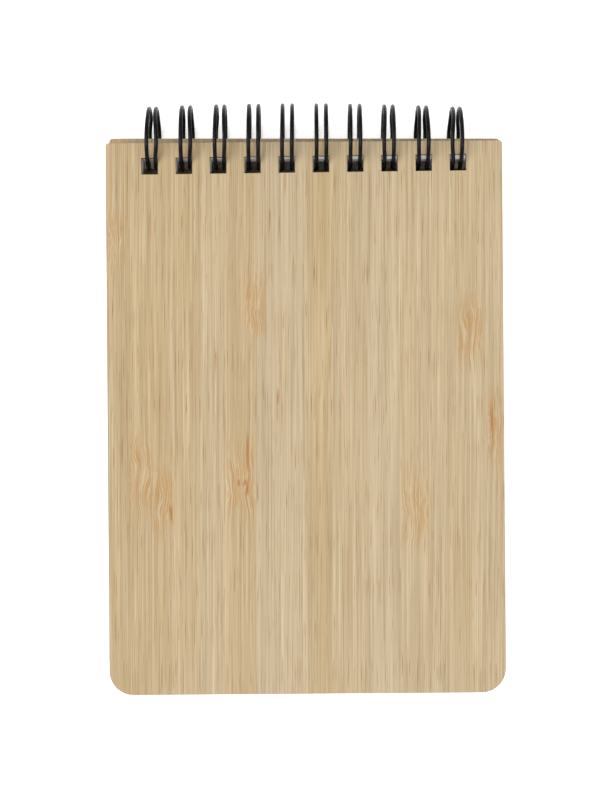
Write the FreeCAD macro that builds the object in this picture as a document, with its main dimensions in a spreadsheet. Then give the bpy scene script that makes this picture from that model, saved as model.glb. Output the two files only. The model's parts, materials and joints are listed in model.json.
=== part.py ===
"""Pocket notebook: two three-ply bamboo covers, fifty leaves and a twin-loop wire binding.

Millimetres, +Z up. The notebook lies closed on its back cover. X runs along the spine, +Y points
towards the binding, and the origin is the middle of the back cover's outer face. Everything turns
round one line, the ring axis, which runs along X through the middle of the wire's rings. The block
has dropped a little inside the rings, as it does when the notebook lies flat.
"""
import FreeCAD
import Part
import Sketcher

import math
import os

Z_AXIS = FreeCAD.Vector(0, 0, 1)

# name, value (mm, or degrees where the name says so), what it is
SIZES = [
    ("cover_width", 98.0, "cover along the spine"),
    ("cover_length", 136.5, "cover from spine edge to free edge"),
    ("corner_radius", 6.0, "rounded corners at the free edge"),
    ("spine_corner_radius", 0.8, "eased corners at the spine edge"),
    ("face_ply", 0.5, "outer bamboo veneer, thickness"),
    ("core_ply", 0.5, "middle ply, thickness"),
    ("lining_ply", 0.5, "inner bamboo veneer, thickness"),
    ("leaf_count", 50, "leaves in the block"),
    ("leaf_thickness", 0.11, "one leaf of paper"),
    ("leaf_gap", 0.016, "air between neighbouring leaves"),
    ("leaf_side_inset", 1.0, "leaf inside the cover at each side"),
    ("leaf_free_edge_inset", 1.8, "leaf shorter than the cover beyond its holes"),
    ("hole_size", 4.0, "side of each square hole"),
    ("hole_pitch", 8.467, "three holes to the inch"),
    ("least_side_margin", 8.0, "least distance from a side edge to the outer hole's middle"),
    ("cover_hole_margin", 3.6, "board between a cover's spine edge and its holes"),
    ("leaf_hole_margin", 3.0, "paper between a leaf's spine edge and its holes"),
    ("wire_diameter", 1.0, "coated wire"),
    ("ring_allowance", 5.0, "inner diameter of the rings, less the block's thickness"),
    ("side_play", 0.3, "wire to the two sides of each hole"),
    ("bridge_bend", 1.3, "bend radius where a strand turns into a bridge"),
    ("tip_gap", 1.7, "from the line where the strands start to the rings' closed tips"),
    ("seam_clearance", 0.35, "from the back cover's outer face to the seam's wire"),
    ("block_drop", 0.8, "middle of the block below the ring axis"),
    ("back_play", 0.12, "wire to the far side of the back cover's holes"),
    ("leaf_play", 0.5, "wire to the spine side of the leaves' holes"),
    ("front_play", 0.5, "wire to the spine side of the front cover's tightest hole"),
    ("front_side_shift", 0.12, "front cover to the left of the rings' middle"),
    ("front_skew_degrees", 0.44, "front cover lying askew on the rings"),
    ("punch_skew_degrees", 0.3, "front cover's row of holes out of square with its edges"),
]

# lengths that follow from the sizes, as expressions
COVER = "(Sizes.face_ply + Sizes.core_ply + Sizes.lining_ply)"
LEAF_STEP = "(Sizes.leaf_thickness + Sizes.leaf_gap)"
BLOCK = f"(2 * {COVER} + Sizes.leaf_count * {LEAF_STEP} + Sizes.leaf_gap)"
AXIS_HEIGHT = f"({BLOCK} / 2 + Sizes.block_drop)"
RING_RADIUS = f"(({BLOCK} + Sizes.ring_allowance + Sizes.wire_diameter) / 2)"
RING_COUNT = "(floor((Sizes.cover_width - 2 * Sizes.least_side_margin) / Sizes.hole_pitch) + 1)"
ROW_LENGTH = f"(({RING_COUNT} - 1) * Sizes.hole_pitch)"
LEAF_WIDTH = "(Sizes.cover_width - 2 * Sizes.leaf_side_inset)"
LEAF_LENGTH = "(Sizes.cover_length - Sizes.cover_hole_margin + Sizes.leaf_hole_margin"
LEAF_LENGTH += " - Sizes.leaf_free_edge_inset)"


def wire_reach(height):
    """How far from the ring axis, along Y, the wire's middle is at a height above or below it."""
    return f"sqrt({RING_RADIUS} ^ 2 - ({height}) ^ 2)"


def wire_half_width(height):
    """Half of the wire's section along Y in a level plane at that height."""
    return f"(Sizes.wire_diameter / 2 * {RING_RADIUS} / {wire_reach(height)})"


# a row of holes is placed so that the wire clears its tightest side by the play in the sizes
BACK_INNER_FACE = f"({AXIS_HEIGHT} - {COVER})"
FRONT_OUTER_FACE = f"({BLOCK} - {AXIS_HEIGHT})"
SKEW = "((Sizes.front_skew_degrees + Sizes.punch_skew_degrees) * 1deg)"
BACK_ROW = "(Sizes.cover_length / 2 - Sizes.cover_hole_margin - Sizes.hole_size / 2)"
AXIS_Y = f"({BACK_ROW} - Sizes.hole_size / 2 + {wire_reach(BACK_INNER_FACE)}"
AXIS_Y += f" + {wire_half_width(BACK_INNER_FACE)} + Sizes.back_play)"
LEAF_ROW = f"({AXIS_Y} - {wire_reach(BACK_INNER_FACE)} + {wire_half_width(BACK_INNER_FACE)}"
LEAF_ROW += " + Sizes.leaf_play - Sizes.hole_size / 2)"
FRONT_ROW = f"({AXIS_Y} - {wire_reach(FRONT_OUTER_FACE)} + {wire_half_width(FRONT_OUTER_FACE)}"
FRONT_ROW += f" + Sizes.front_play + {ROW_LENGTH} / 2 * tan({SKEW}) - Sizes.hole_size / 2)"


def make_sheet(doc):
    """The spreadsheet that holds every size, one alias to a row."""
    sheet = doc.addObject("Spreadsheet::Sheet", "Sizes")
    for row, (name, value, meaning) in enumerate(SIZES, start=1):
        sheet.set(f"A{row}", name)
        sheet.set(f"B{row}", str(value))
        sheet.set(f"C{row}", meaning)
        sheet.setAlias(f"B{row}", name)
    doc.recompute()
    return sheet


def level_plane(body):
    """The body's own XY plane."""
    return next(f for f in body.Origin.OriginFeatures if f.Role == "XY_Plane")


def level_sketch(body, name):
    """An empty sketch on the body's own XY plane."""
    sketch = body.newObject("Sketcher::SketchObject", name)
    sketch.AttachmentSupport = [(level_plane(body), "")]
    sketch.MapMode = "FlatFace"
    return sketch


def bind(sketch, constraint, name, expression):
    """Adds a driving dimension and ties it to the sizes."""
    index = sketch.addConstraint(constraint)
    sketch.renameConstraint(index, name)
    sketch.setExpression(f"Constraints.{name}", expression)


def draw_outline(sketch, width, length, margin):
    """A sheet with rounded corners, symmetrical about Y, with its spine edge beyond the row on X."""
    half, top, low, far, eased = 40.0, 5.0, -115.0, 4.0, 1.0  # a first guess for the solver
    corners = [(half - far, low + far, far, 270), (half - eased, top - eased, eased, 0)]
    corners += [(eased - half, top - eased, eased, 90), (far - half, low + far, far, 180)]
    arcs = []
    for x, y, radius, start in corners:
        circle = Part.Circle(FreeCAD.Vector(x, y, 0), Z_AXIS, radius)
        turn = Part.ArcOfCircle(circle, math.radians(start), math.radians(start + 90))
        arcs.append(sketch.addGeometry(turn))
    sides = []
    ends = [(half, low + far, half, top - eased), (half - eased, top, eased - half, top)]
    ends += [(-half, top - eased, -half, low + far), (far - half, low, half - far, low)]
    for x1, y1, x2, y2 in ends:
        line = Part.LineSegment(FreeCAD.Vector(x1, y1, 0), FreeCAD.Vector(x2, y2, 0))
        sides.append(sketch.addGeometry(line))
    right, spine, left, free = sides
    for side, before, after in zip(sides, arcs, arcs[1:] + arcs[:1]):
        sketch.addConstraint(Sketcher.Constraint("Tangent", before, 2, side, 1))
        sketch.addConstraint(Sketcher.Constraint("Tangent", side, 2, after, 1))
    for side in (right, left):
        sketch.addConstraint(Sketcher.Constraint("Vertical", side))
    sketch.addConstraint(Sketcher.Constraint("Horizontal", free))
    sketch.addConstraint(Sketcher.Constraint("Symmetric", spine, 1, spine, 2, -2))
    sketch.addConstraint(Sketcher.Constraint("Equal", arcs[0], arcs[3]))
    sketch.addConstraint(Sketcher.Constraint("Equal", arcs[1], arcs[2]))
    bind(sketch, Sketcher.Constraint("Radius", arcs[0], far), "free_corner", "Sizes.corner_radius")
    bind(sketch, Sketcher.Constraint("Radius", arcs[1], eased), "spine_corner",
         "Sizes.spine_corner_radius")
    bind(sketch, Sketcher.Constraint("DistanceX", left, 1, right, 2, 2 * half), "wide", width)
    bind(sketch, Sketcher.Constraint("DistanceY", free, 1, spine, 1, top - low), "deep", length)
    bind(sketch, Sketcher.Constraint("DistanceY", -1, 1, spine, 1, top), "spine_edge",
         f"{margin} + Sizes.hole_size / 2")


def draw_first_hole(sketch):
    """The square hole at the left end of the row, whose middle is on X."""
    corner = [(-30.0, -2.0), (-26.0, -2.0), (-26.0, 2.0), (-30.0, 2.0)]  # a first guess
    points = [FreeCAD.Vector(x, y, 0) for x, y in corner]
    sides = []
    for start, end in zip(points, points[1:] + points[:1]):
        sides.append(sketch.addGeometry(Part.LineSegment(start, end)))
    for side, following in zip(sides, sides[1:] + sides[:1]):
        sketch.addConstraint(Sketcher.Constraint("Coincident", side, 2, following, 1))
    low, right, high, left = sides
    for side in (low, high):
        sketch.addConstraint(Sketcher.Constraint("Horizontal", side))
    for side in (left, right):
        sketch.addConstraint(Sketcher.Constraint("Vertical", side))
    hole = "Sizes.hole_size"
    bind(sketch, Sketcher.Constraint("DistanceX", low, 1, low, 2, 4.0), "across", hole)
    bind(sketch, Sketcher.Constraint("DistanceY", right, 1, right, 2, 4.0), "along", hole)
    bind(sketch, Sketcher.Constraint("DistanceX", low, 1, -1, 1, 30.0), "from_middle",
         f"({ROW_LENGTH} + {hole}) / 2")
    bind(sketch, Sketcher.Constraint("DistanceY", low, 1, -1, 1, 2.0), "below_row", f"{hole} / 2")


def make_plate(doc, name, width, length, margin, thickness, skew=None):
    """A punched sheet of board or paper. Its own origin is the middle of its row of holes."""
    body = doc.addObject("PartDesign::Body", name)
    outline = level_sketch(body, f"{name}_outline")
    draw_outline(outline, width, length, margin)
    if skew:
        outline.setExpression("AttachmentOffset.Rotation.Angle", f"-{skew} * 1deg")
    pad = body.newObject("PartDesign::Pad", f"{name}_sheet")
    pad.Profile = outline
    pad.setExpression("Length", thickness)
    square = level_sketch(body, f"{name}_hole")
    draw_first_hole(square)
    hole = body.newObject("PartDesign::Pocket", f"{name}_punch")
    hole.Profile = square
    hole.Type = "ThroughAll"
    hole.Midplane = True
    row = body.newObject("PartDesign::LinearPattern", f"{name}_row")
    row.Originals = [hole]
    row.Direction = (square, ["H_Axis"])
    row.setExpression("Length", ROW_LENGTH)
    row.setExpression("Occurrences", RING_COUNT)
    body.Tip = row
    return body


def make_cover(doc, side, order, base_z, row_y, skew=None):
    """A cover's three plies, from the lowest up, each a body of its own."""
    plies = []
    height = base_z
    for ply in order:
        thickness = f"Sizes.{ply}_ply"
        plate = make_plate(doc, f"{side}_cover_{ply}_ply", "Sizes.cover_width",
                           "Sizes.cover_length", "Sizes.cover_hole_margin", thickness, skew)
        plate.setExpression("Placement.Base.y", row_y)
        plate.setExpression("Placement.Base.z", height)
        height = f"{height} + {thickness}"
        plies.append(plate)
    return plies


def make_front_cover(doc):
    """The front cover lies askew and a little to the left, as far as its holes let it."""
    base_z = f"{COVER} + Sizes.leaf_count * {LEAF_STEP} + Sizes.leaf_gap"
    order = ["lining", "core", "face"]
    plies = make_cover(doc, "front", order, base_z, FRONT_ROW, "Sizes.punch_skew_degrees")
    for plate in plies:
        plate.setExpression("Placement.Base.x", "-Sizes.front_side_shift")
        plate.setExpression("Placement.Rotation.Angle", f"{SKEW}")
    return plies


def make_leaves(doc, count):
    """The leaves, numbered from the front cover down."""
    leaves = []
    for number in range(1, count + 1):
        leaf = make_plate(doc, f"leaf_{number:02d}", LEAF_WIDTH, LEAF_LENGTH,
                          "Sizes.leaf_hole_margin", "Sizes.leaf_thickness")
        below = count - number
        leaf.setExpression("Placement.Base.y", LEAF_ROW)
        leaf.setExpression("Placement.Base.z", f"{COVER} + Sizes.leaf_gap + {below} * {LEAF_STEP}")
        leaves.append(leaf)
    return leaves


class RingFrame:
    """Places on the rings' surface: along X, and by an angle from +Y over +Z towards -Y."""

    def __init__(self, radius, axis_y, axis_z):
        self.radius = radius
        self.axis_y = axis_y
        self.axis_z = axis_z

    def outward(self, angle):
        return FreeCAD.Vector(0, math.cos(angle), math.sin(angle))

    def onward(self, angle):
        """The direction along a ring in which the angle grows."""
        return FreeCAD.Vector(0, -math.sin(angle), math.cos(angle))

    def point(self, x, angle, past=0.0):
        """A point on a ring, or past millimetres beyond it along the tangent there."""
        middle = FreeCAD.Vector(x, self.axis_y, self.axis_z)
        return middle + self.outward(angle) * self.radius + self.onward(angle) * past


def arc_edge(start, through, end):
    return Part.Arc(start, through, end).toShape()


def strand(frame, x, start, end):
    """One strand, most of the way round its ring."""
    middle = (start + end) / 2
    return arc_edge(frame.point(x, start), frame.point(x, middle), frame.point(x, end))


def bridge(frame, x_from, x_to, angle, bend):
    """The wire from one ring to the next: a bend, a straight run along the spine and a bend."""
    quarter = math.radians(45)
    inward = bend * (1 - math.cos(quarter))
    reach = bend * math.sin(quarter)
    return [
        arc_edge(frame.point(x_from, angle), frame.point(x_from + inward, angle, reach),
                 frame.point(x_from + bend, angle, bend)),
        Part.LineSegment(frame.point(x_from + bend, angle, bend),
                         frame.point(x_to - bend, angle, bend)).toShape(),
        arc_edge(frame.point(x_to - bend, angle, bend),
                 frame.point(x_to - inward, angle, reach), frame.point(x_to, angle)),
    ]


def wire_path(doc):
    """The binding wire's middle line: up one strand, round the closed tip, back, and over a bridge."""
    sizes = doc.Sizes

    def value(expression):
        return float(sizes.evalExpression(expression.replace("Sizes.", "")))

    frame = RingFrame(value(RING_RADIUS), value(AXIS_Y), value(AXIS_HEIGHT))
    seam_drop = value(f"{AXIS_HEIGHT} + Sizes.seam_clearance + Sizes.wire_diameter / 2")
    root = math.pi + math.asin(seam_drop / frame.radius)
    half = (sizes.hole_size - sizes.wire_diameter) / 2 - sizes.side_play
    closed = root + (sizes.tip_gap + half) / frame.radius
    full_turn = 2 * math.pi
    count = int(value(RING_COUNT))
    edges = []
    for number in range(count):
        x = (number - (count - 1) / 2) * sizes.hole_pitch
        up = strand(frame, x - half, root + full_turn, closed)
        tip = arc_edge(frame.point(x - half, closed), frame.point(x, closed, -half),
                       frame.point(x + half, closed))
        back = strand(frame, x + half, closed, root + full_turn)
        edges += [up, tip, back]
        if number < count - 1:
            following = x + sizes.hole_pitch - half
            edges += bridge(frame, x + half, following, root, sizes.bridge_bend)
    return edges, frame, root


def make_wire(doc):
    """The twin-loop binding: one length of wire, bent into a comb and closed into rings."""
    edges, frame, root = wire_path(doc)
    radius = doc.Sizes.wire_diameter / 2
    start = edges[0].valueAt(edges[0].FirstParameter)
    section = Part.Wire(Part.makeCircle(radius, start, frame.onward(root)))
    shape = Part.Wire(edges).makePipeShell([section], True, False)
    wire = doc.addObject("Part::Feature", "binding_wire")
    wire.Shape = shape
    length = sum(edge.Length for edge in edges)
    expected = math.pi * radius ** 2 * length
    print(f"wire length {length:.1f} mm, volume {shape.Volume:.1f}, expected {expected:.1f} mm3")
    if abs(shape.Volume - expected) > 0.01 * expected:
        raise RuntimeError("the binding wire's volume is wrong")
    return wire


def check_document(doc, parts):
    """Stops before anything is written if a feature failed, a hole is missing or a solid is bad."""
    for item in doc.Objects:
        if "Invalid" in item.State or "Error" in item.State:
            raise RuntimeError(f"{item.Name} failed: {item.State}")
    for item in parts:
        shape = item.Shape
        if shape.isNull() or not shape.isValid() or len(shape.Solids) != 1:
            raise RuntimeError(f"{item.Label} isn't one valid solid")
    hole_area = doc.Sizes.hole_size ** 2
    for item in parts:
        if item.TypeId != "PartDesign::Body":
            continue
        sheet = doc.getObject(f"{item.Name}_sheet").Shape
        row = doc.getObject(f"{item.Name}_row")
        thickness = sheet.BoundBox.ZLength
        punched = row.Occurrences * hole_area * thickness
        if abs(sheet.Volume - row.Shape.Volume - punched) > 0.001 * punched:
            raise RuntimeError(f"{item.Label} has the wrong holes")


def main():
    doc = FreeCAD.newDocument("PocketNotebook")
    sheet = make_sheet(doc)
    back_order = ["face", "core", "lining"]
    parts = make_cover(doc, "back", back_order, "0", BACK_ROW)
    parts += make_leaves(doc, int(sheet.leaf_count))
    parts += make_front_cover(doc)
    doc.recompute()
    parts.append(make_wire(doc))
    doc.recompute()
    check_document(doc, parts)
    os.makedirs("parts", exist_ok=True)
    for item in parts:
        item.Shape.exportStep(f"parts/{item.Label}.step")
    print(f"{len(parts)} parts written")


main()
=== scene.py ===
"""Looks for the pocket notebook: bamboo veneer on the covers, lined leaves and a black coated wire.

Everything is in metres in the CAD frame: +Z up, +Y towards the binding, the notebook on its back.
"""

import json
import math
import random

import bmesh
import bpy
from mathutils import Matrix, Vector
from mathutils.geometry import tessellate_polygon

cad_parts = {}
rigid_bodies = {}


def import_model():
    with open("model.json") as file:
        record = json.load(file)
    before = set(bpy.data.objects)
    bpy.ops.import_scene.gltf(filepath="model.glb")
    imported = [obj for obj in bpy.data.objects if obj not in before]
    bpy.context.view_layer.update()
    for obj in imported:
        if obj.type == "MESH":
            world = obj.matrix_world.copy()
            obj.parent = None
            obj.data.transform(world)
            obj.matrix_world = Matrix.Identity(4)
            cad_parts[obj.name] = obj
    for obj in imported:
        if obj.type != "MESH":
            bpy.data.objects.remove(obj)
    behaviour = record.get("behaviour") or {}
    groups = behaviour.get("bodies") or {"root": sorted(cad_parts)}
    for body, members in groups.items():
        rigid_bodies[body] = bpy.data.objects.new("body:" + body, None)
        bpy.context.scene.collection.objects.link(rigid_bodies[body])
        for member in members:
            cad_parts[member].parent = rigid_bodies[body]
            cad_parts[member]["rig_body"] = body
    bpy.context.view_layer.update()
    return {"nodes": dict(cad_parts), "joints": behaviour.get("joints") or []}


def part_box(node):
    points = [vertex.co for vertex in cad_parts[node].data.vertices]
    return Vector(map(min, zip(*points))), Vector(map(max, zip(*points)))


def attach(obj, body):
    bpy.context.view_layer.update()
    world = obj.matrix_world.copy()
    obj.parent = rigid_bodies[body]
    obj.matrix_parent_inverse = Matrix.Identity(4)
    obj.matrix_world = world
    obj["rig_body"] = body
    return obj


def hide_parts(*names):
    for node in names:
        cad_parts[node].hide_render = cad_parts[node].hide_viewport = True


MM = 0.001

# ---- sizes of the drawn detail
CHAMFER = 0.07 * MM
FLAT_TOLERANCE = 0.002 * MM
WIRE_RADIUS = 0.5 * MM
STRAND_OFFSET = 1.2 * MM
SEAM_CLEARANCE = 0.35 * MM
BRIDGE_BEND = 1.3 * MM
TIP_GAP = 1.7 * MM
RULE_SPACING = 7.0 * MM
LEAF_SHIFT = 0.05 * MM

# ---- the comb as it was closed by hand: towards the row's ends its rings lean further inward, and
# are flatter. The leans are those of the end rings.
FAR_LEAN = 0.7 * MM
TOP_LEAN = 0.5 * MM
UNDER_LEAN = 0.3 * MM
LEAN_PLAY = 0.1 * MM
BOW_MIDDLE = 0.4 * MM
BOW_ENDS = -0.4 * MM
HOLE_PLAY = 1.32 * MM

# ---- angles round the rings, in degrees from +Y over +Z. Closed, the leaves' holes are on the rings
# between 585 and 510, and turned over between 395 and 325.
CLOSED_LEAVES = (548, 508)
RING_TOP = 465
TURNED_LEAVES = (398, 322)
UNDER_SPINE = 282

# ---- nodes of the cane that show in the front veneer: x, y, half width, half length, in mm
FRONT_KNOTS = [
    (-46.6, 42.0, 1.9, 9.0), (-12.4, 26.0, 3.0, 12.0), (40.9, 20.0, 3.4, 12.0),
    (47.2, -4.5, 1.9, 13.0), (-40.4, -16.0, 3.2, 14.0), (-34.6, -22.0, 3.0, 13.0),
    (-15.6, -17.5, 3.8, 14.0), (27.4, -24.0, 3.6, 13.0),
]
FRONT_SCARS = [
    (-15.3, -17.9, 1.3, 1.2), (-13.9, -19.6, 0.5, 2.2), (-14.0, -10.0, 0.35, 6.0),
    (46.2, -3.5, 0.5, 6.0), (-33.0, -25.5, 0.45, 3.0), (-6.5, 1.5, 0.35, 5.0),
]
BACK_KNOTS = [(-30.0, 20.0, 5.0, 7.0), (9.0, -41.0, 4.0, 6.0), (36.0, 2.0, 4.5, 7.0)]

# ---- the veneer's pattern: repeats per metre across the grain, along it and through the ply
STRIPS = 150.0
SWERVE_SCALE = (260, 120, 50)
SWERVE_MOST = 3.2 * MM
FIBRE_SCALE = (2500, 22, 300)
HAIR_SCALE = (4200, 24, 300)
SHADE_SCALE = (420, 8, 100)
BUNDLE_SCALE = (6000, 90, 300)
FLAME_SCALE = (900, 150, 100)
FRONT_SHIFT = 3.7
BACK_SHIFT = 41.3
LINING_SHIFT = 17.9

# ---- the ruled lines on the leaves
RULE_SHARE = 0.035
RULE_STRENGTH = 0.55
FIRST_RULE = 47 * MM

# ---- colours, linear
VENEER_BEIGE = (0.445, 0.347, 0.216, 1)
VENEER_HONEY = (0.412, 0.300, 0.156, 1)
FIBRE_PALE = (0.550, 0.450, 0.295, 1)
FIBRE_TAN = (0.318, 0.200, 0.086, 1)
FIBRE_BROWN = (0.250, 0.125, 0.040, 1)
KNOT_ORANGE = (0.385, 0.215, 0.068, 1)
SCAR_ORANGE = (0.340, 0.140, 0.028, 1)
CUT_EDGE = (0.075, 0.042, 0.022, 1)
CORE_WOOD = (0.160, 0.098, 0.050, 1)
PAPER = (0.700, 0.690, 0.660, 1)
PAPER_DARK = (0.665, 0.655, 0.625, 1)
# the leaves' cut edges: a darker grey, painted shade of the edges inside the block and of its hole
# walls
PAPER_EDGE_SHADE = (0.430, 0.420, 0.402, 1)
RULE_INK = (0.300, 0.340, 0.420, 1)
# the linings drawn paler than the face: painted light, lifting the back lining's strip where the
# front cover shades it
LINING_PAINTED_LIGHT = 1.14
WIRE_BLACK = (0.0022, 0.0022, 0.0026, 1)
WIRE_WORN = (0.0060, 0.0060, 0.0068, 1)


# ---- the studio: a light's direction, spread in degrees and strength, and the camera
KEY_LIGHT = ((-0.50, -0.16, 0.62), 50, 1.95)
FRONT_LIGHT = ((0.02, -0.36, 0.75), 14, 0.9)
SKY = {"From Min": 0.15, "From Max": 0.45, "To Min": 1.05, "To Max": 0.58}
TABLE_HALF = 6.0
TABLE_WHITE = (0.93, 0.93, 0.93, 1)
TABLE_LIGHT = 0.55
UNLIT_HALF = (47 * MM, 66 * MM)
CAMERA_PLACE = (0.0003, 0.0026, 0.4893)
CAMERA_LENS = 58.28
SENSOR_HEIGHT = 24.0


class Graph:
    """A material's nodes. Numbers, colours and sockets go in, and sockets come out."""

    def __init__(self, name):
        self.material = bpy.data.materials.new(name)
        self.material.use_nodes = True
        self.tree = self.material.node_tree
        self.shader = self.tree.nodes["Principled BSDF"]
        self.place = self.add("ShaderNodeTexCoord").outputs

    def add(self, kind, inputs=None, **settings):
        node = self.tree.nodes.new(kind)
        for name, value in settings.items():
            setattr(node, name, value)
        for name, value in (inputs or {}).items():
            self.put(node.inputs[name], value)
        return node

    def put(self, socket, value):
        if isinstance(value, bpy.types.NodeSocket):
            self.tree.links.new(value, socket)
        else:
            socket.default_value = value

    def math(self, operation, first, second=0.0):
        node = self.add("ShaderNodeMath", {0: first, 1: second}, operation=operation)
        return node.outputs[0]

    def stretch(self, vector, scale, shift=(0, 0, 0)):
        """The vector in other units: scale is repeats per metre along each axis."""
        scaled = self.add("ShaderNodeVectorMath", {0: vector, 1: scale}, operation="MULTIPLY")
        moved = self.add("ShaderNodeVectorMath", {0: scaled.outputs[0], 1: shift},
                         operation="ADD")
        return moved.outputs[0]

    def noise(self, vector, detail=2.0, roughness=0.5, distortion=0.0):
        inputs = {"Vector": vector, "Scale": 1.0, "Detail": detail, "Roughness": roughness,
                  "Distortion": distortion}
        return self.add("ShaderNodeTexNoise", inputs).outputs["Fac"]

    def ramp(self, value, low, high, start=0.0, end=1.0):
        """start below low, end above high, and a smooth change between."""
        inputs = {"Value": value, "From Min": low, "From Max": high, "To Min": start,
                  "To Max": end}
        node = self.add("ShaderNodeMapRange", inputs, interpolation_type="SMOOTHSTEP")
        return node.outputs["Result"]

    def mix(self, factor, first, second):
        inputs = {"Factor": factor, 6: first, 7: second}
        return self.add("ShaderNodeMix", inputs, data_type="RGBA").outputs[2]

    def brighten(self, colour, factor):
        """The colour times a number that varies round one."""
        grey = self.add("ShaderNodeCombineColor", {0: factor, 1: factor, 2: factor}).outputs[0]
        inputs = {"Factor": 1.0, 6: colour, 7: grey}
        node = self.add("ShaderNodeMix", inputs, data_type="RGBA", blend_type="MULTIPLY")
        return node.outputs[2]

    def finish(self, colour, roughness, height=None, depth=0.0):
        self.put(self.shader.inputs["Base Color"], colour)
        self.put(self.shader.inputs["Roughness"], roughness)
        if height is not None:
            inputs = {"Height": height, "Distance": depth, "Strength": 1.0}
            bump = self.add("ShaderNodeBump", inputs)
            self.put(self.shader.inputs["Normal"], bump.outputs["Normal"])
        return self.material


def knot_mask(graph, across, along, knots):
    """One inside the knots: cut off by the strip's sides, and fading at the two ends."""
    found = 0.0
    for x, y, half_width, half_length in knots:
        side = graph.math("ABSOLUTE", graph.math("SUBTRACT", across, x * MM))
        end = graph.math("ABSOLUTE", graph.math("SUBTRACT", along, y * MM))
        within = graph.ramp(side, 0.8 * half_width * MM, half_width * MM, 1.0, 0.0)
        fading = graph.ramp(end, 0.2 * half_length * MM, half_length * MM, 1.0, 0.0)
        found = graph.math("MAXIMUM", found, graph.math("MULTIPLY", within, fading))
    return found


def bamboo(name, shift, knots, scars, painted_light=1.0):
    """Flat-sawn bamboo veneer: glued strips, long fibres, short brown bundles and cane nodes."""
    graph = Graph(name)
    place = graph.place["Object"]
    axes = graph.add("ShaderNodeSeparateXYZ", {0: place}).outputs
    strip_place = graph.math("ADD", graph.math("MULTIPLY", axes[0], STRIPS), shift)
    strip = graph.add("ShaderNodeTexVoronoi", {"W": strip_place, "Scale": 1.0,
                                               "Randomness": 0.85}, voronoi_dimensions="1D")
    lottery = graph.add("ShaderNodeSeparateColor", {0: strip.outputs["Color"]}).outputs
    offset = (shift, shift * 2.0, 0.0)
    knot = knot_mask(graph, axes[0], axes[1], knots)
    scar = knot_mask(graph, axes[0], axes[1], scars)

    # fibres swerve round a cane node
    swerve = graph.noise(graph.stretch(place, SWERVE_SCALE, offset), 2.0, 0.5)
    swerve = graph.math("MULTIPLY", graph.math("SUBTRACT", swerve, 0.5), SWERVE_MOST)
    swerve = graph.math("MULTIPLY", swerve, knot)
    bent = graph.add("ShaderNodeCombineXYZ", {0: graph.math("ADD", axes[0], swerve),
                                              1: axes[1], 2: axes[2]}).outputs[0]
    fine = graph.noise(graph.stretch(bent, FIBRE_SCALE, offset), 2.0, 0.6)
    hair = graph.noise(graph.stretch(bent, HAIR_SCALE, offset), 1.0, 0.5)
    shade = graph.noise(graph.stretch(place, SHADE_SCALE, offset), 2.0, 0.5)
    bundles = graph.noise(graph.stretch(bent, BUNDLE_SCALE, offset), 1.0, 0.4)
    flames = graph.noise(graph.stretch(bent, FLAME_SCALE, offset), 2.0, 0.6, 0.5)

    colour = graph.mix(lottery[0], VENEER_HONEY, VENEER_BEIGE)
    colour = graph.mix(graph.ramp(fine, 0.28, 0.50, 0.50, 0.0), colour, FIBRE_TAN)
    colour = graph.mix(graph.ramp(fine, 0.50, 0.72, 0.0, 0.55), colour, FIBRE_PALE)
    colour = graph.brighten(colour, graph.ramp(hair, 0.32, 0.68, 0.92, 1.08))
    colour = graph.brighten(colour, graph.ramp(shade, 0.30, 0.70, 0.95, 1.05))
    colour = graph.mix(graph.ramp(bundles, 0.645, 0.69, 0.0, 0.70), colour, FIBRE_BROWN)
    orange = graph.math("MULTIPLY", knot, graph.ramp(flames, 0.38, 0.58, 0.20, 0.80))
    colour = graph.mix(orange, colour, KNOT_ORANGE)
    pale = graph.math("MULTIPLY", knot, graph.ramp(hair, 0.50, 0.60, 0.0, 0.50))
    colour = graph.mix(pale, colour, FIBRE_PALE)
    scar = graph.math("MULTIPLY", scar, graph.ramp(flames, 0.34, 0.52, 0.15, 0.90))
    colour = graph.mix(scar, colour, SCAR_ORANGE)
    # painted light: a factor over one makes the linings paler, lifting the back lining's strip where
    # the front cover shades it
    colour = graph.brighten(colour, painted_light)

    facing = graph.add("ShaderNodeSeparateXYZ", {0: graph.place["Normal"]}).outputs[2]
    flat = graph.ramp(graph.math("ABSOLUTE", facing), 0.55, 0.95)
    colour = graph.mix(flat, CUT_EDGE, colour)
    return graph.finish(colour, graph.ramp(fine, 0.3, 0.7, 0.66, 0.54), fine, 0.02 * MM)


def core_wood(name):
    """The middle ply, seen at the cut edges only: its fibres run across the cover."""
    graph = Graph(name)
    fibres = graph.noise(graph.stretch(graph.place["Object"], (60, 2600, 2600)), 2.0, 0.6)
    colour = graph.mix(graph.ramp(fibres, 0.3, 0.7), CUT_EDGE, CORE_WOOD)
    return graph.finish(colour, 0.7, fibres, 0.03 * MM)


def lined_paper(name):
    """Uncoated paper with faint printed lines, and painted shade on its cut edges."""
    graph = Graph(name)
    place = graph.place["Object"]
    along = graph.add("ShaderNodeSeparateXYZ", {0: place}).outputs[1]
    tooth = graph.noise(graph.stretch(place, (900, 900, 900)), 2.0, 0.6)
    colour = graph.mix(graph.ramp(tooth, 0.35, 0.65), PAPER_DARK, PAPER)
    row = graph.math("FRACT", graph.math("DIVIDE", graph.math("ADD", along, 1.0), RULE_SPACING))
    line = graph.math("LESS_THAN", row, RULE_SHARE)
    below_holes = graph.math("LESS_THAN", along, FIRST_RULE)
    printed = graph.math("MULTIPLY", graph.math("MULTIPLY", line, below_holes), RULE_STRENGTH)
    colour = graph.mix(printed, colour, RULE_INK)
    # the sides of a leaf take a darker grey: painted shade of the leaves' edges in the block and in
    # the hole walls
    facing = graph.add("ShaderNodeSeparateXYZ", {0: graph.place["Normal"]}).outputs[2]
    flat = graph.ramp(graph.math("ABSOLUTE", facing), 0.4, 0.8)
    return graph.finish(graph.mix(flat, PAPER_EDGE_SHADE, colour), 0.85, tooth, 0.01 * MM)


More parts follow.
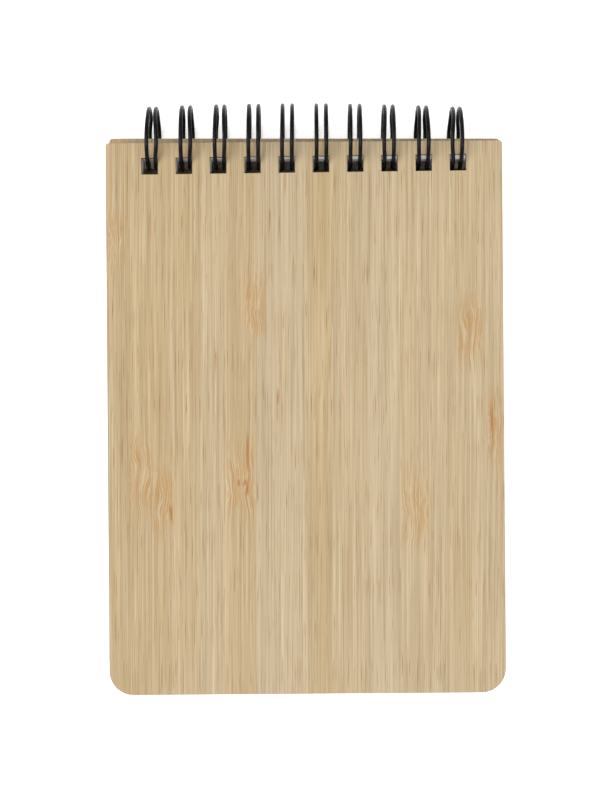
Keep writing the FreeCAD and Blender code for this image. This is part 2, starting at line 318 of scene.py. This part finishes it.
def coated_wire(name):
    """Steel wire in a satin black coat, a little rubbed."""
    graph = Graph(name)
    place = graph.place["Object"]
    rub = graph.noise(graph.stretch(place, (500, 500, 500)), 2.0, 0.5)
    grain = graph.noise(graph.stretch(place, (6000, 6000, 6000)), 1.0, 0.5)
    colour = graph.mix(graph.ramp(rub, 0.45, 0.7), WIRE_BLACK, WIRE_WORN)
    graph.put(graph.shader.inputs["Specular IOR Level"], 0.14)
    return graph.finish(colour, graph.ramp(rub, 0.3, 0.7, 0.26, 0.36), grain, 0.008 * MM)


def outlines(mesh):
    """The closed outlines of a plate's top face, each with the board on its left."""
    top = max(vertex.co.z for vertex in mesh.vertices)
    shape = bmesh.new()
    shape.from_mesh(mesh)
    bmesh.ops.remove_doubles(shape, verts=shape.verts, dist=FLAT_TOLERANCE)
    cap = {f for f in shape.faces if all(abs(v.co.z - top) < FLAT_TOLERANCE for v in f.verts)}
    following = {}
    for face in cap:
        for corner in face.loops:
            if not all(other in cap for other in corner.edge.link_faces):
                following[corner.vert] = corner.link_loop_next.vert
    found = []
    while following:
        vertex, after = following.popitem()
        outline = [vertex.co.xy.copy()]
        while after in following:
            outline.append(after.co.xy.copy())
            after = following.pop(after)
        found.append(outline)
    shape.free()
    return found


def inset(outline, distance):
    """The outline moved into the board, with its corners kept."""
    moved = []
    for before, here, after in zip(outline[-1:] + outline[:-1], outline,
                                   outline[1:] + outline[:1]):
        back = (here - before).normalized()
        onward = (after - here).normalized()
        left = Vector((-back.y, back.x)) + Vector((-onward.y, onward.x))
        moved.append(here + left * (2 * distance / left.length_squared))
    return moved


def eased_plate(node, name, levels):
    """The CAD plate drawn again with a small chamfer: levels are (inset, height) from the top."""
    rings = outlines(node.data)
    corners, faces = [], []
    firsts = []
    for outline in rings:
        count = len(outline)
        for step, (distance, height) in enumerate(levels):
            firsts.append(len(corners))
            corners += [(p.x, p.y, height) for p in inset(outline, distance)]
            if step:
                upper, lower = firsts[-2], firsts[-1]
                for k in range(count):
                    following = (k + 1) % count
                    faces.append((upper + k, lower + k, lower + following, upper + following))
    for step, upward in ((0, True), (len(levels) - 1, False)):
        distance, height = levels[step]
        drawn = [[Vector((p.x, p.y, 0)) for p in inset(outline, distance)] for outline in rings]
        index = []
        for ring, outline in enumerate(rings):
            first = firsts[ring * len(levels) + step]
            index += range(first, first + len(outline))
        flat = [point for ring in drawn for point in ring]
        for a, b, c in tessellate_polygon(drawn):
            turn = (flat[b] - flat[a]).cross(flat[c] - flat[a]).z
            order = (a, b, c) if (turn > 0) == upward else (a, c, b)
            faces.append(tuple(index[k] for k in order))
    mesh = bpy.data.meshes.new(name)
    mesh.from_pydata(corners, [], faces)
    mesh.shade_smooth()
    mesh.set_sharp_from_angle(angle=math.radians(25))
    plate = bpy.data.objects.new(name, mesh)
    bpy.context.scene.collection.objects.link(plate)
    return plate


def dress(piece, material, body):
    """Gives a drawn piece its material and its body."""
    piece.data.materials.clear()
    piece.data.materials.append(material)
    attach(piece, body)


def draw_ply(nodes, cover, layer, outer_side_up, material):
    """A face or lining ply, chamfered on the side that can be touched."""
    node = nodes[f"{cover}_{layer}_ply"]
    low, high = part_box(node.name)
    if outer_side_up:
        levels = [(CHAMFER, high.z), (0.0, high.z - CHAMFER), (0.0, low.z)]
    else:
        levels = [(0.0, high.z), (0.0, low.z + CHAMFER), (CHAMFER, low.z)]
    plate = eased_plate(node, f"{cover}_{layer}_veneer", levels)
    dress(plate, material, cover)
    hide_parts(node.name)


def draw_covers(nodes):
    core = core_wood("bamboo_core")
    for cover, shift, knots in (("front_cover", FRONT_SHIFT, FRONT_KNOTS),
                                ("back_cover", BACK_SHIFT, BACK_KNOTS)):
        front = cover == "front_cover"
        face = bamboo(f"{cover}_bamboo", shift, knots, FRONT_SCARS if front else [])
        lining = bamboo(f"{cover}_lining_bamboo", shift + LINING_SHIFT, [], [],
                        LINING_PAINTED_LIGHT)
        draw_ply(nodes, cover, "face", front, face)
        draw_ply(nodes, cover, "lining", not front, lining)
        node = nodes[f"{cover}_core_ply"]
        node.data.materials.clear()
        node.data.materials.append(core)


def draw_leaves(nodes):
    """Each leaf as cut, but lying a hair's breadth off its neighbours, as in a real block."""
    paper = lined_paper("lined_paper")
    chance = random.Random(12)
    for name in sorted(n for n in nodes if n.startswith("leaf_")):
        node = nodes[name]
        sheet = bpy.data.objects.new(f"{name}_paper", node.data.copy())
        bpy.context.scene.collection.objects.link(sheet)
        across = chance.uniform(-LEAF_SHIFT, LEAF_SHIFT)
        along = chance.uniform(-LEAF_SHIFT, LEAF_SHIFT)
        sheet.data.transform(Matrix.Translation((across, along, 0)))
        dress(sheet, paper, node["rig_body"])
        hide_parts(name)


def blend_between(keys, angle):
    """A value eased between (angle, value) keys that run from high angle to low."""
    for (high, first), (low, second) in zip(keys, keys[1:]):
        if angle >= low:
            share = min(1.0, (high - angle) / (high - low))
            eased = share * share * (3 - 2 * share)
            return first + (second - first) * eased
    return keys[-1][1]


class Comb:
    """Places on the rings, by loop and by angle from +Y over +Z towards -Y."""

    def __init__(self, axis, radius, middles):
        self.axis = axis
        self.radius = radius
        self.middles = middles
        seam_depth = axis.z + SEAM_CLEARANCE + WIRE_RADIUS
        self.root = math.pi + math.asin(seam_depth / radius)
        self.tip = self.root + (TIP_GAP + STRAND_OFFSET) / radius

    def row_place(self, loop):
        """-1 at the left end of the row, 1 at the right end."""
        return 2 * loop / (len(self.middles) - 1) - 1

    def strand_keys(self, loop, side):
        """How far a strand is from its hole's middle, at the angles where that matters."""
        chance = random.Random(loop)
        far, top, under = (side * STRAND_OFFSET - self.row_place(loop) * lean
                           + chance.uniform(-LEAN_PLAY, LEAN_PLAY)
                           for lean in (FAR_LEAN, TOP_LEAN, UNDER_LEAN))
        closed = max(-HOLE_PLAY, min(HOLE_PLAY, top))
        opened = max(-HOLE_PLAY, min(HOLE_PLAY, far))
        seam = math.degrees(self.root) + 360
        return [(seam, side * STRAND_OFFSET), (CLOSED_LEAVES[0], closed),
                (CLOSED_LEAVES[1], closed), (RING_TOP, top), (TURNED_LEAVES[0], opened),
                (TURNED_LEAVES[1], opened), (UNDER_SPINE, under), (math.degrees(self.tip), under)]

    def bow(self, loop, angle):
        """How much further out the ring's far side is than a circle."""
        most = BOW_MIDDLE + (BOW_ENDS - BOW_MIDDLE) * self.row_place(loop) ** 2
        return most * max(0.0, math.cos(angle)) ** 2

    def point(self, loop, across, angle, past=0.0):
        """A place at a distance across from the loop's middle, and past the angle's radius."""
        radius = self.radius + self.bow(loop, angle)
        outward = Vector((0, math.cos(angle), math.sin(angle)))
        onward = Vector((0, -math.sin(angle), math.cos(angle)))
        middle = Vector((self.middles[loop], self.axis.y, self.axis.z))
        return middle + Vector((across, 0, 0)) + outward * radius + onward * past

    def strand(self, loop, side, steps=64):
        """One strand from the seam, over the top and round to the closed tip."""
        keys = self.strand_keys(loop, side)
        points = []
        for k in range(steps + 1):
            angle = self.root + 2 * math.pi + (self.tip - self.root - 2 * math.pi) * k / steps
            across = blend_between(keys, math.degrees(angle))
            points.append(self.point(loop, across, angle))
        return points

    def tip_turn(self, loop, steps=10):
        """The closed tip, half a turn from the left strand to the right one."""
        left = self.strand_keys(loop, -1)[-1][1]
        right = self.strand_keys(loop, 1)[-1][1]
        middle, half = (left + right) / 2, (right - left) / 2
        points = []
        for k in range(1, steps):
            turn = math.pi * k / steps
            points.append(self.point(loop, middle - half * math.cos(turn), self.tip,
                                     -half * math.sin(turn)))
        return points

    def bridge(self, loop, steps=6):
        """From this loop's right strand to the next loop's left one, along the spine."""
        points = []
        for k in range(1, steps + 1):
            turn = math.pi / 2 * k / steps
            across = STRAND_OFFSET + BRIDGE_BEND * (1 - math.cos(turn))
            points.append(self.point(loop, across, self.root, BRIDGE_BEND * math.sin(turn)))
        for k in range(steps, 0, -1):
            turn = math.pi / 2 * k / steps
            across = -STRAND_OFFSET - BRIDGE_BEND * (1 - math.cos(turn))
            points.append(self.point(loop + 1, across, self.root, BRIDGE_BEND * math.sin(turn)))
        return points

    def path(self):
        points = []
        for loop in range(len(self.middles)):
            points += self.strand(loop, -1) + self.tip_turn(loop)
            points += reversed(self.strand(loop, 1))
            if loop + 1 < len(self.middles):
                points += self.bridge(loop)
        return points


def tube(name, points, radius, sides=14):
    """A closed tube along the points, without twist."""
    corners, faces = [], []
    across = Vector((1, 0, 0))
    for k, point in enumerate(points):
        ahead = points[min(k + 1, len(points) - 1)] - points[max(k - 1, 0)]
        tangent = ahead.normalized()
        across = (across - tangent * across.dot(tangent)).normalized()
        other = tangent.cross(across)
        for side in range(sides):
            turn = 2 * math.pi * side / sides
            corners.append(point + (across * math.cos(turn) + other * math.sin(turn)) * radius)
    for k in range(len(points) - 1):
        for side in range(sides):
            following = (side + 1) % sides
            here, there = k * sides, (k + 1) * sides
            faces.append((here + side, here + following, there + following, there + side))
    faces.append(tuple(reversed(range(sides))))
    faces.append(tuple(range(len(corners) - sides, len(corners))))
    mesh = bpy.data.meshes.new(name)
    mesh.from_pydata(corners, [], faces)
    mesh.shade_smooth()
    mesh.set_sharp_from_angle(angle=math.radians(60))
    made = bpy.data.objects.new(name, mesh)
    bpy.context.scene.collection.objects.link(made)
    return made


def draw_wire(frame):
    """The twin-loop wire in one piece, its rings leaning and bowed as a hand-closed comb is."""
    node = frame["nodes"]["binding_wire"]
    low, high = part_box(node.name)
    axis = Vector(frame["joints"][0]["pos_m"])
    radius = (high.z - low.z) / 2 - WIRE_RADIUS
    holes = sorted(outlines(frame["nodes"]["back_cover_lining_ply"].data), key=len)[:-1]
    middles = sorted(sum(p.x for p in hole) / len(hole) for hole in holes)
    wire = tube("twin_loop_wire", Comb(axis, radius, middles).path(), WIRE_RADIUS)
    dress(wire, coated_wire("coated_wire"), "back_cover")
    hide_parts(node.name)


def add_lamp(name, towards, spread, strength):
    """A soft light from far away, in the direction towards it; spread is its width in degrees."""
    lamp = bpy.data.lights.new(name, "SUN")
    lamp.angle = math.radians(spread)
    lamp.energy = strength
    source = bpy.data.objects.new(name, lamp)
    source.location = towards
    source.rotation_euler = (-source.location).to_track_quat("-Z", "Y").to_euler()
    bpy.context.scene.collection.objects.link(source)


def lit_table(name):
    """A white table lit from below, except under the closed notebook."""
    graph = Graph(name)
    axes = graph.add("ShaderNodeSeparateXYZ", {0: graph.place["Object"]}).outputs
    beside = graph.math("SUBTRACT", graph.math("ABSOLUTE", axes[0]), UNLIT_HALF[0])
    beyond = graph.math("SUBTRACT", graph.math("ABSOLUTE", axes[1]), UNLIT_HALF[1])
    outside = graph.ramp(graph.math("MAXIMUM", beside, beyond), -MM, MM, 0.0, TABLE_LIGHT)
    graph.put(graph.shader.inputs["Emission Color"], (1, 1, 1, 1))
    graph.put(graph.shader.inputs["Emission Strength"], outside)
    return graph.finish(TABLE_WHITE, 0.9)


def add_sky():
    """A soft white room, brightest at the horizon."""
    world = bpy.data.worlds.new("studio")
    bpy.context.scene.world = world
    world.use_nodes = True
    tree = world.node_tree
    direction = tree.nodes.new("ShaderNodeTexCoord").outputs["Generated"]
    axes = tree.nodes.new("ShaderNodeSeparateXYZ")
    height = tree.nodes.new("ShaderNodeMapRange")
    height.interpolation_type = "SMOOTHSTEP"
    for name, value in SKY.items():
        height.inputs[name].default_value = value
    tree.links.new(direction, axes.inputs[0])
    tree.links.new(axes.outputs["Z"], height.inputs["Value"])
    background = tree.nodes["Background"]
    background.inputs["Color"].default_value = (1, 1, 1, 1)
    tree.links.new(height.outputs["Result"], background.inputs["Strength"])


def add_stage():
    """A white table, soft light from the left and the camera straight above."""
    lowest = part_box("binding_wire")[0].z
    mesh = bpy.data.meshes.new("table")
    half = TABLE_HALF
    mesh.from_pydata([(-half, -half, lowest), (half, -half, lowest), (half, half, lowest),
                      (-half, half, lowest)], [], [(0, 1, 2, 3)])
    table = bpy.data.objects.new("table", mesh)
    bpy.context.scene.collection.objects.link(table)
    mesh.materials.append(lit_table("white_table"))

    add_sky()
    add_lamp("key", *KEY_LIGHT)
    add_lamp("front", *FRONT_LIGHT)

    camera = bpy.data.cameras.new("camera")
    camera.sensor_fit = "VERTICAL"
    camera.sensor_height = SENSOR_HEIGHT
    camera.lens = CAMERA_LENS
    view = bpy.data.objects.new("camera", camera)
    view.location = CAMERA_PLACE
    bpy.context.scene.collection.objects.link(view)
    bpy.context.scene.camera = view
    bpy.context.scene.view_settings.view_transform = "Standard"


def main():
    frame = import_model()
    draw_covers(frame["nodes"])
    draw_leaves(frame["nodes"])
    draw_wire(frame)
    add_stage()


main()
